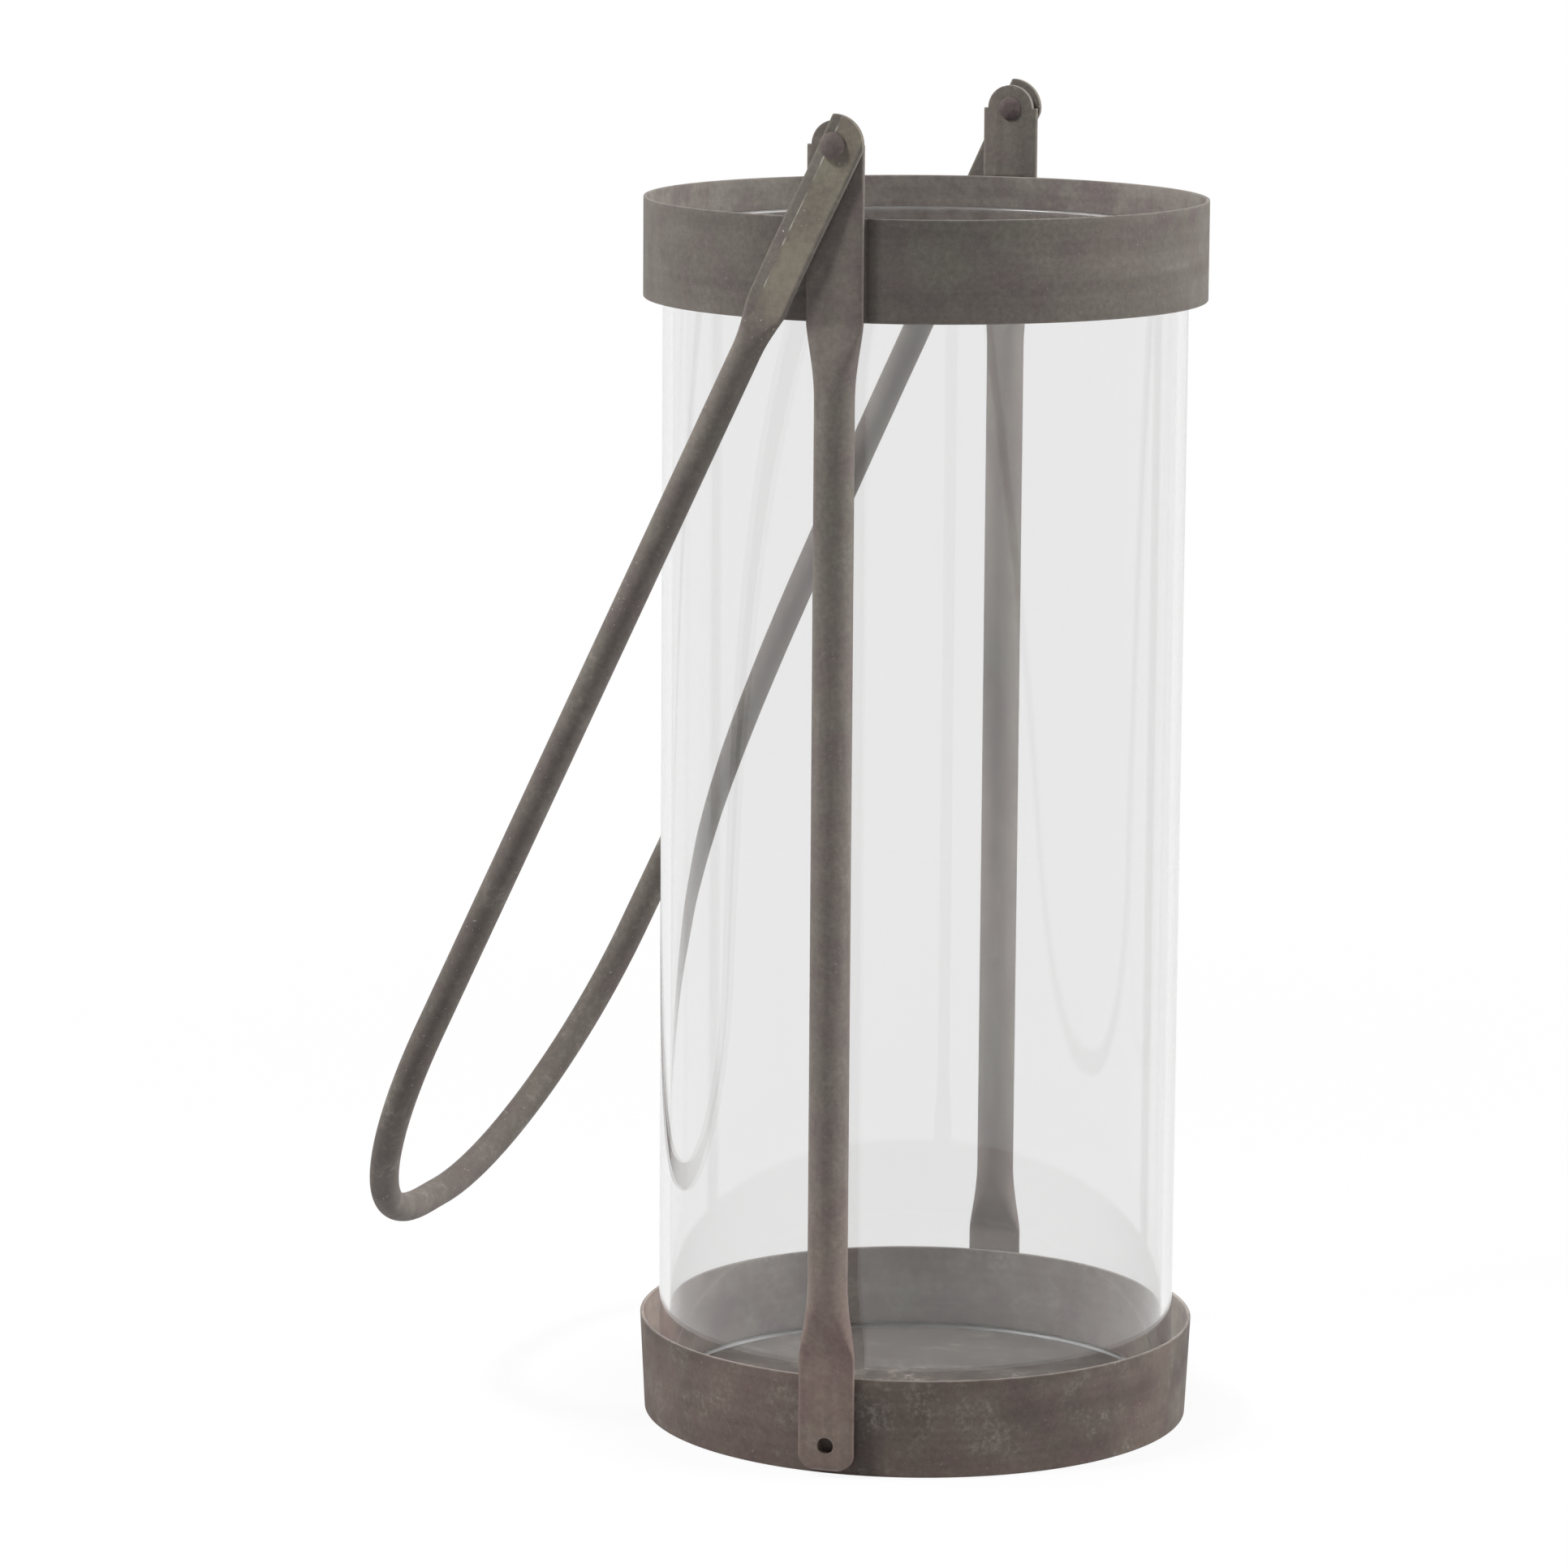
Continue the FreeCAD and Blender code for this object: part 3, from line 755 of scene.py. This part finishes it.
def makeBail(d):
    flat, taper, offset, halfRun = d["flat"], d["taper"], d["offset"], d["bottomRun"] / 2
    bend = offset - halfRun
    legEnd = d["drop"] - bend
    halfFlat, halfHeight = squashed(d, 0)
    halfWidth = halfFlat + halfHeight
    endRadius = halfWidth + d["pivotAside"] + d["endMargin"]
    depths = steps(-endRadius - d["spare"], flat, d["flatPitch"])
    depths += steps(flat, flat + taper, d["swellPitch"])
    depths += steps(flat + taper, legEnd, d["tubePitch"])
    front = [(-offset, -depth, -1.0, 0.0) for depth in depths]
    for step in range(d["bendPieces"] + 1):
        angle = step / d["bendPieces"] * pi / 2
        outY, outZ = -cos(angle), -sin(angle)
        front.append((-halfRun + bend * outY, -legEnd + bend * outZ, outY, outZ))
    rear = [(-y, z, -outY, outZ) for y, z, outY, outZ in front[::-1]]
    route = front + [(0.0, -d["drop"], 0.0, -1.0)] + rear

    def roundnessAt(depth):
        return swell(depth - flat, taper)

    # How far the ridge lies in from the bail's edge
    def ridgeInset(depth):
        return d["ridge"] + d["ridgeDrift"] * clamped(depth / flat)

    rings = []
    for y, z, outY, outZ in route:
        roundness = roundnessAt(-z)
        flatHere, heightHere = squashed(d, roundness)
        ridgeAt = -(flatHere + heightHere - ridgeInset(-z))
        square = d["square"] * (1 - roundness)
        sprung = clamped((-z - d["bowFrom"]) / (flat + taper - d["bowFrom"]))
        bow = d["bow"] * sin(pi * sprung) ** 2
        lowFade = (flat + d["ridgeLow"] + z) / d["ridgeLowFade"]
        highFade = (d["ridgeHigh"] - z) / d["ridgeHighFade"]
        fall = d["ridgeFall"] * (1 - roundness) * clamped(min(lowFade, highFade))
        ring = []
        for across, outward in sectionRing(flatHere, heightHere, d["around"], square):
            if across < ridgeAt and outward > 0:
                outward -= (ridgeAt - across) * fall * outward / heightHere
            outward += bow
            ring.append(Vector((across, y + outY * outward, z + outZ * outward)))
        rings.append(ring)
    aside = d["pivotAside"]
    outlines = roundEnd(-aside, 0, endRadius), disc(-aside, 0, d["hole"])
    tools = [prism(outline, *d["cut"]) for outline in outlines]

    def onOuterFace(co):
        return abs(co.y) > offset + d["outerFace"]

    def wear(co):
        roundness = roundnessAt(-co.z)
        flatHere, heightHere = squashed(d, roundness)
        rim = (abs(co.x) - flatHere) / heightHere * (1 - roundness)
        onFlat = clamped(1 - (d["rubLow"] - co.z - flat) / d["rubLowFade"])
        fromRidge = abs(co.x + halfWidth - ridgeInset(-co.z))
        along = Vector((0, co.y, co.z * d["breakPitch"]))
        uneven = d["ridgeRub"] + d["ridgeBreaks"] * noise.noise(along)
        ridge = (uneven - fromRidge / d["ridgeFade"]) * onFlat if onOuterFace(co) else 0
        fromPivot = hypot(co.x + aside, co.z)
        end = 1 - abs(fromPivot - endRadius) / d["endFade"] if co.z > 0 else 0
        return max(rim * d["rimRub"], ridge, end * d["endRub"], d["tubeRub"] * roundness)

    # The outer face beside the ridge is rubbed lighter and greener than the rest
    def tone(co):
        onFlat = 1 - (d["toneLow"] - co.z - flat) / d["toneLowFade"]
        fromRidge = co.x + halfWidth - ridgeInset(-co.z)
        fromEdge = halfWidth - co.x
        beside = min(fromRidge + d["toneRidge"], fromEdge - d["toneEdge"]) / d["toneFade"]
        return min(onFlat, beside) if onOuterFace(co) else 0

    bm = carve(skin(rings), tools, d["edge"])
    lean = radians(d["lean"])
    hung = Vector((aside * cos(lean), 0, d["pivot"] - aside * sin(lean))) * mm
    place = Matrix.Translation(hung) @ Matrix.Rotation(lean, 4, "Y")
    marks = {"wear": wear, "tone": tone}
    finishPiece("bailHandle", bm, bailSteel, "bail_handle", "bail", "bail_steel", marks, place)


makeBail(bail)
print("bail made")

# Rivet with a domed head outside and a peened tail inside
rivet = {
    "shank": 2.25,
    "head": 3.7,
    "headDome": 1.6,
    "tail": 3.4,
    "tailDome": 0.8,
    "edge": 0.5,
    "grip": 4.6,
    "seat": 79.8,
    "pivot": pivotHeight,
    "headLip": 0.7,  # share of the edge that stands upright beside the dome
    "tailLip": 0.4,
    "undercut": 0.2,
    "headCorner": 0.12,
    "tailCorner": 0.05,
    "headPieces": 10,
    "tailPieces": 8,
    "around": 56,
    "headUneven": 0.1,
    "headFrom": 0.1,
    "tailUneven": 0.22,
    "tailFrom": -0.02,
    "bumpPitch": 0.55,
    "bumpLevel": 0.55,
    "bumpRise": 0.6,
    "bumpShift": (7, 3, 1),
    "crown": 0.75,
    "crownRub": 0.55,
}


# Points of a dome from its crown to its edge as (radius, rise)
def dome(radius, rise, edge, lip, pieces):
    points = []
    for step in range(pieces + 1):
        angle = step / pieces * pi / 2
        points.append((radius * sin(angle), edge * lip + (rise + edge * (1 - lip)) * cos(angle)))
    return points


def makeRivets(d):
    head, tail, shank, grip, edge = d["head"], d["tail"], d["shank"], d["grip"], d["edge"]
    undercut, tailCorner = d["undercut"], d["tailCorner"]
    tailDome = dome(tail, d["tailDome"], edge, d["tailLip"], d["tailPieces"])
    headDome = dome(head, d["headDome"], edge, d["headLip"], d["headPieces"])
    profile = [(r, -rise) for r, rise in tailDome]
    profile += [(tail - tailCorner, -tailCorner), (tail - undercut, 0), (shank, 0), (shank, grip)]
    profile += [(head - undercut, grip), (head, grip + d["headCorner"])]
    profile += [(r, grip + rise) for r, rise in headDome[::-1]]
    crown = grip + edge + d["headDome"] * d["crown"]

    # The head and the tail are a little hammered, the shank is not
    def unevenAt(z):
        if z > grip + d["headFrom"]:
            return d["headUneven"]
        return d["tailUneven"] if z < d["tailFrom"] else 0

    def wear(co):
        return d["crownRub"] if co.z > crown else 0

    shiftX, shiftY, shiftZ = d["bumpShift"]
    both = ("rivetFront", "pivot_rivet_front", -1), ("rivetRear", "pivot_rivet_rear", 1)
    for name, node, side in both:
        bm = spun(profile, d["around"], closed=False)
        shift = Vector((side * shiftX, shiftY, shiftZ))
        for vertex in bm.verts:
            point = vertex.co / mm
            bump = noise.noise(point * d["bumpPitch"] + shift) - d["bumpLevel"]
            bump *= unevenAt(point.z) * mm
            upward = 1 if point.z > 0 else -1
            vertex.co += Vector((point.x, point.y, 0)) / head * bump
            vertex.co.z += bump * upward * d["bumpRise"]
        turn = Matrix.Rotation(-side * pi / 2, 4, "X")
        place = Matrix.Translation((0, side * d["seat"] * mm, d["pivot"] * mm)) @ turn
        finishPiece(name, bm, rivetSteel, node, "frame", "rivet_steel", {"wear": wear}, place)


makeRivets(rivet)
print("rivets made")

# Loose open glass tube with polished rims
glassTube = {
    "outer": 74.5,
    "wall": 3.0,
    "bottom": 4.7,
    "top": 343.3,
    "edge": 0.9,
    "edgePieces": 8,
    "margins": (2.0, 8.0),
    "around": 320,
}


def makeGlass(d):
    outer, inner = d["outer"], d["outer"] - d["wall"]
    bottom, top, edge = d["bottom"], d["top"], d["edge"]
    corners = [(inner, bottom), (outer, bottom), (outer, top), (inner, top)]
    bm = spun(roundedLoop(corners, edge, d["margins"], d["edgePieces"]), d["around"])

    def wear(co):
        return 1 if co.z < bottom + edge or co.z > top - edge else 0

    def tone(co):
        return 1 if co.z < bottom + edge else 0

    marks = {"wear": wear, "tone": tone}
    finishPiece("glassTube", bm, glassClear, "glass_cylinder", "glass", "clear_glass", marks)


makeGlass(glassTube)
print("glass made")

# Pale floor that shows as white with a soft shadow, in a dim room that shows as white too
stage = {
    "albedo": (0.6, 0.6, 0.6, 1),
    "white": (1, 1, 1, 1),
    "glow": 0.92,  # share of plain white beside the lantern, and all of it further out
    "glowReach": (0.25, 0.9),
    "room": 0.08,
    "size": 14.0,
    "height": -0.0003,
}

# Soft lamps at the left, high at the front left and at the right
lamps = {
    "leftLamp": {
        "place": (-1.65, -0.33, 1.2),
        "target": (0, 0, 0.2),
        "size": (0.8, 1.1),
        "power": 25,
    },
    "frontLamp": {
        "place": (-1.0, -0.85, 2.0),
        "target": (0, 0, 0.25),
        "size": (0.3, 0.3),
        "power": 44,
    },
    "rightLamp": {
        "place": (1.66, 0.38, 1.05),
        "target": (0, 0, 0.2),
        "size": (1.1, 1.5),
        "power": 58,
    },
}

# Camera fitted to the rims of the bands and the base
view = {
    "place": (0.553627, -1.745255, 0.497794),
    "turn": (80.2509, -0.3747, 18.8903),
    "lens": 148.6,
    "sensor": 36,
    "reach": 60,
}


# Whether a ray comes from the camera with no more than mirrors and glass between
def seenDirectly(tree):
    rays = addNode(tree, "LightPath").outputs
    seen = combine(tree, "MAXIMUM", rays["Is Camera Ray"], rays["Is Glossy Ray"])
    seen = combine(tree, "MAXIMUM", seen, rays["Is Transmission Ray"])
    unscattered = combine(tree, "LESS_THAN", rays["Diffuse Depth"], 0.5)
    return combine(tree, "MULTIPLY", seen, unscattered)


def makeStage(d):
    bm = bmesh.new()
    bmesh.ops.create_grid(bm, x_segments=2, y_segments=2, size=d["size"])
    floor = holder("floor", bm)
    floor.location.z = d["height"]
    material, tree, shader = newMaterial("floor_white")
    tree.nodes.remove(shader)
    matte = addNode(tree, "BsdfDiffuse", {"Color": d["albedo"]}).outputs[0]
    glow = addNode(tree, "Emission", {"Color": d["white"], "Strength": 1.0}).outputs[0]
    place = addNode(tree, "TexCoord").outputs["Object"]
    away = addNode(tree, "VectorMath", {0: place}, operation="LENGTH").outputs[1]
    whiter = spread(tree, away, *d["glowReach"], d["glow"], 1.0)
    share = combine(tree, "MULTIPLY", seenDirectly(tree), whiter)
    both = addNode(tree, "MixShader", {0: share, 1: matte, 2: glow})
    tree.links.new(both.outputs[0], tree.nodes["Material Output"].inputs["Surface"])
    floor.data.materials.append(material)
    world = bpy.data.worlds.new("studio")
    scene.world = world
    world.use_nodes = True
    sky = world.node_tree
    strength = spread(sky, seenDirectly(sky), 0.0, 1.0, d["room"], 1.0)
    backdrop = sky.nodes["Background"]
    backdrop.inputs["Color"].default_value = d["white"]
    sky.links.new(strength, backdrop.inputs["Strength"])


def makeLamp(name, d):
    lamp = bpy.data.lights.new(name, "AREA")
    lamp.shape = "RECTANGLE"
    lamp.size, lamp.size_y = d["size"]
    lamp.energy = d["power"]
    made = bpy.data.objects.new(name, lamp)
    made.location = d["place"]
    aim = Vector(d["target"]) - Vector(d["place"])
    made.rotation_euler = aim.to_track_quat("-Z", "Y").to_euler()
    made.visible_glossy = False
    scene.collection.objects.link(made)


def makeCamera(d):
    camera = bpy.data.cameras.new("photoCamera")
    camera.sensor_width = d["sensor"]
    camera.lens = d["lens"]
    camera.clip_end = d["reach"]
    made = bpy.data.objects.new("photoCamera", camera)
    made.location = d["place"]
    made.rotation_euler = [radians(angle) for angle in d["turn"]]
    scene.collection.objects.link(made)
    scene.camera = made


makeStage(stage)
for name, lamp in lamps.items():
    makeLamp(name, lamp)
makeCamera(view)
print("stage made")
